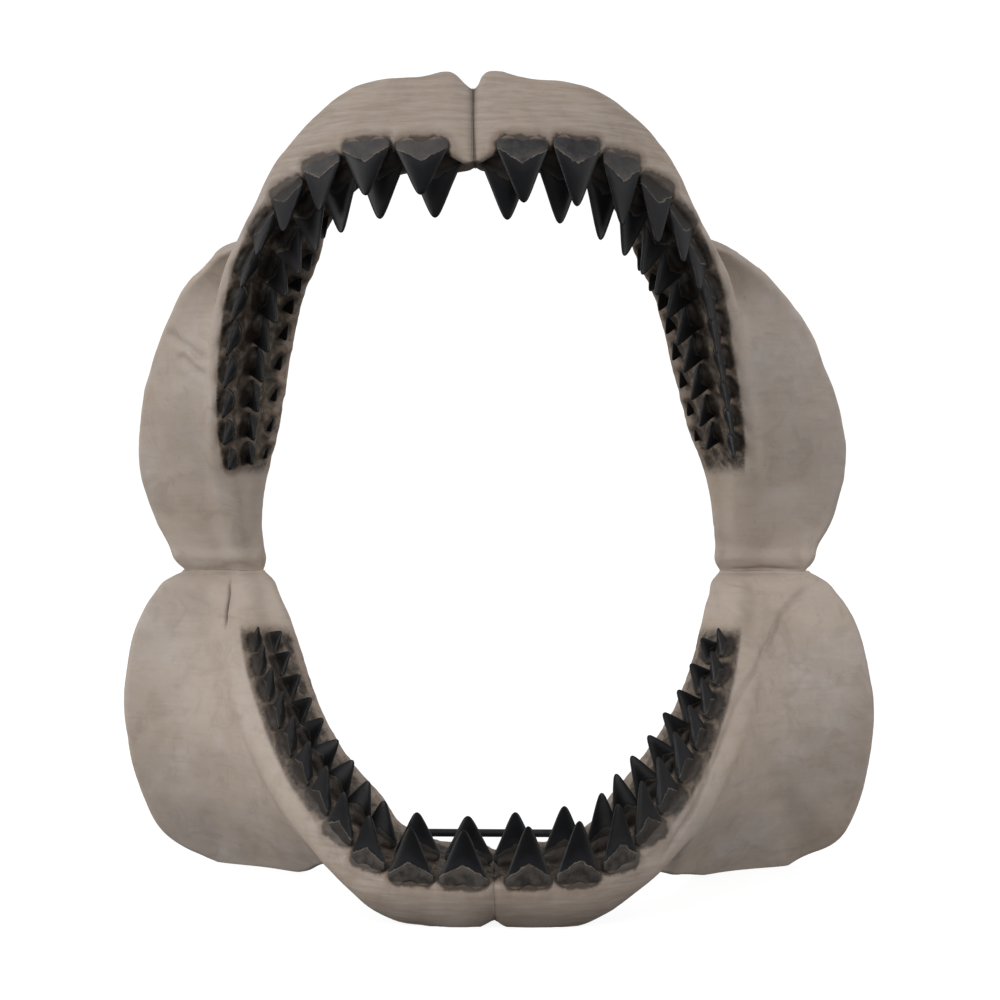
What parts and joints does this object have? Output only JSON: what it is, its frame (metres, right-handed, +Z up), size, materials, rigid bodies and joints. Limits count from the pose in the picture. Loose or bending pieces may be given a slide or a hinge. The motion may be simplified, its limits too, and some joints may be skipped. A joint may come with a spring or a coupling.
{
  "type": "cast display replica of a giant fossil shark jaw",
  "caption": "Wide open shark jaw cast with rows of dark teeth, standing on its own lower jaw, tied by a steel rod.",
  "frame": {"origin": "on the floor, under the middle of the cast's bounding box", "axes": "+Z up, -Y is the front that the mouth opens to, +X is the right side as seen from the front"},
  "size_m": [1.6997, 0.6616, 1.6919],
  "materials": {
    "cast_jaw": "satin, brushed paint over cast resin",
    "teeth": "semi-gloss, painted",
    "brace_steel": "satin black",
    "nut_steel": "plain"
  },
  "bodies": {
    "root": {"upper_arch_left": "cast_jaw", "upper_wing_left": "cast_jaw", "upper_arch_right": "cast_jaw", "upper_wing_right": "cast_jaw", "lower_arch_left": "cast_jaw", "lower_wing_left": "cast_jaw", "lower_arch_right": "cast_jaw", "lower_wing_right": "cast_jaw", "brace_rod": "brace_steel", "brace_nut_left": "nut_steel", "brace_nut_right": "nut_steel"}
  },
  "joints": []
}
